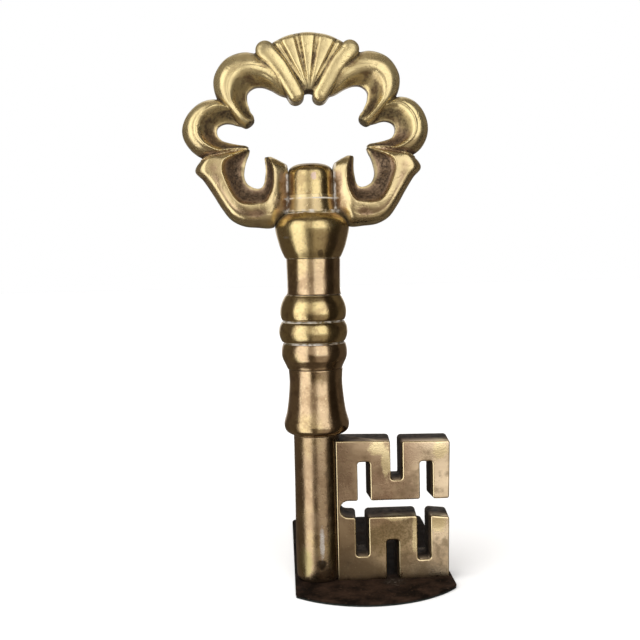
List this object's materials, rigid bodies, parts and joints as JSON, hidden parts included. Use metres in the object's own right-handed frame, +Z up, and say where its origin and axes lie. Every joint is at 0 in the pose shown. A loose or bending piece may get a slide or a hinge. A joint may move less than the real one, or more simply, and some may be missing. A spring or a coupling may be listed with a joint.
{
  "type": "key bookend",
  "caption": "Bookend in the shape of an old door key: pierced scrolled bow, ringed stem and slotted bit, standing on a thin steel tongue.",
  "frame": {"origin": "on the shelf, on the underside of the felt, straight below the axis of the shank", "axes": "+Z up along the key; +X from the shank towards the bit; +Y towards the books, so the tongue runs back along +Y"},
  "size_m": [0.1168, 0.1264, 0.247],
  "materials": {
    "turned_brass": "aged, polished by handling",
    "cast_brass": "aged casting, dark in the hollows",
    "plate_steel": "dark brown patina",
    "steel": "plain turned steel",
    "felt": "felt"
  },
  "bodies": {
    "root": {"felt_pad": "felt", "tongue_plate": "plate_steel", "shank": "turned_brass", "bit": "cast_brass", "baluster": "turned_brass", "lower_bead": "turned_brass", "middle_bead": "turned_brass", "upper_bead": "turned_brass", "neck": "turned_brass", "bulb": "turned_brass", "bow": "cast_brass", "cap_nut": "turned_brass", "tie_rod": "steel", "shank_screw": "steel", "bit_inner_screw": "steel", "bit_outer_screw": "steel", "lower_dowel": "steel", "upper_dowel": "steel"}
  },
  "joints": []
}
